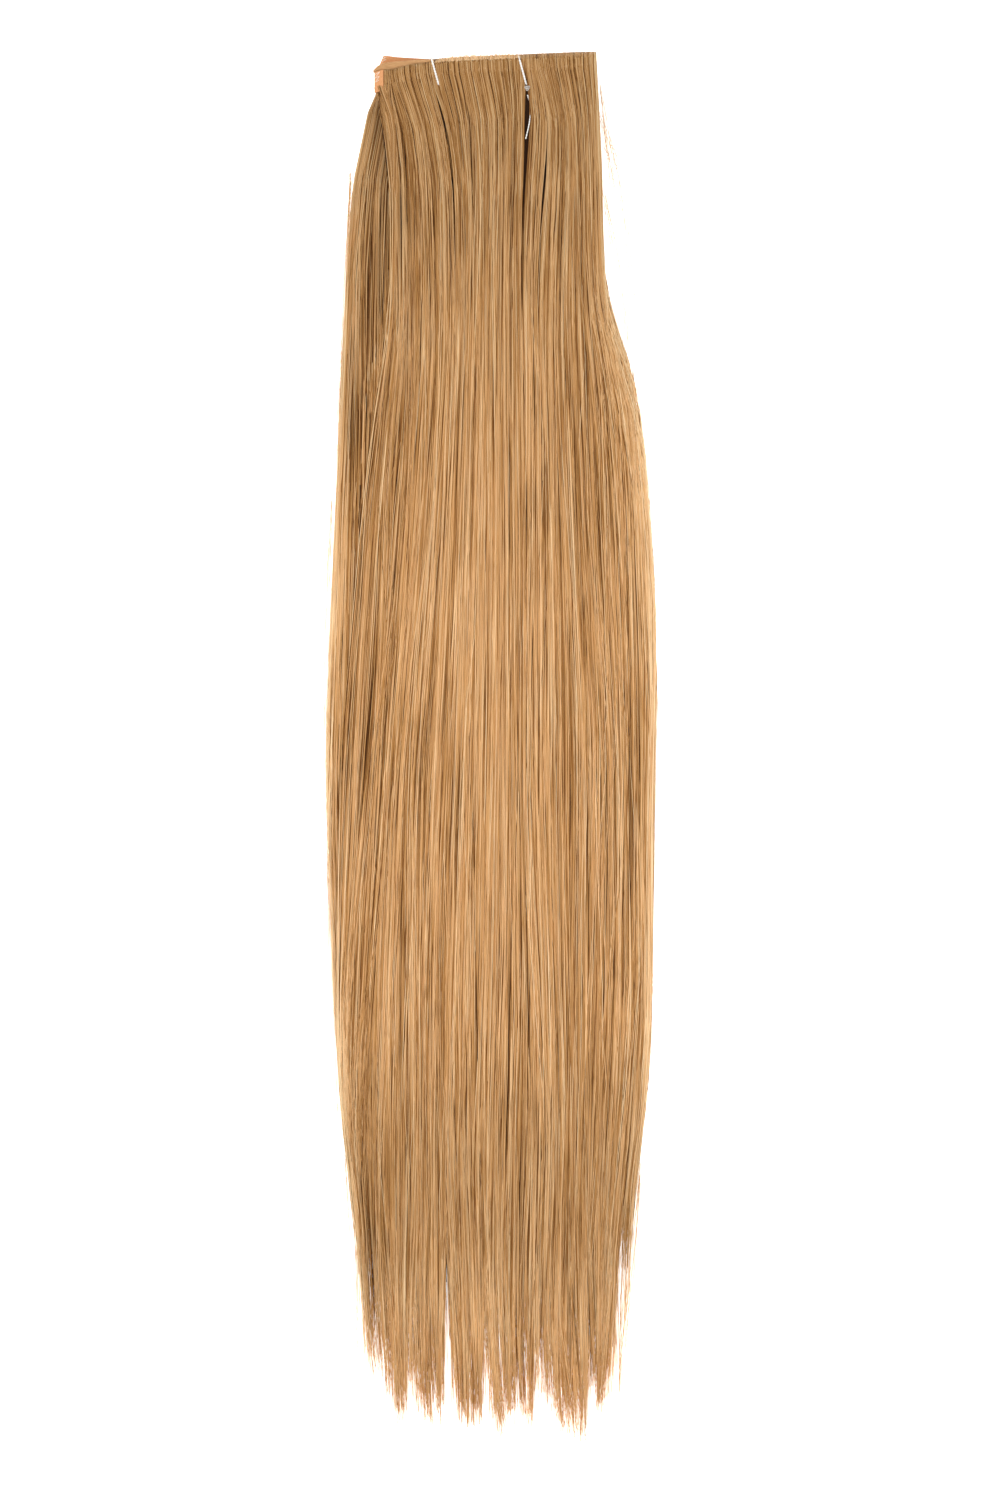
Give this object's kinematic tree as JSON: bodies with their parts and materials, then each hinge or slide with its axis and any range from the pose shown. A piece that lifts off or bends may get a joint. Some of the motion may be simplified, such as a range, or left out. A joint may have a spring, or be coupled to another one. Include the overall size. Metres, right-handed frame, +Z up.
{
  "type": "clip-in hair extension",
  "caption": "Long straight clip-in hair extension: a wide weft folded in half with its snap clips inside, tied with white threads, and loose hair falling from both halves.",
  "frame": {"origin": "on the table under the middle of the whole extension", "axes": "+X along the folded weft from its open ends to its fold, +Y from the tips to the weft, +Z up from the table"},
  "size_m": [0.1454, 0.61, 0.0163],
  "materials": {
    "hair": "smooth straight hair, light golden brown with fine lighter and darker strands, soft sheen",
    "track": "hair roots sewn together in tight zigzag rows",
    "ribbon": "smooth woven ribbon, pinkish tan, with pale stitches",
    "clip": "satin brown lacquered spring steel",
    "thread": "white twisted cotton thread"
  },
  "bodies": {
    "root": {"front_hair": "hair", "back_hair": "hair", "weft_track": "track", "weft_ribbon": "ribbon", "front_clip_left": "clip", "front_clip_right": "clip", "back_clip_left": "clip", "back_clip_right": "clip", "tie_thread_left": "thread", "tie_thread_right": "thread"}
  },
  "joints": []
}
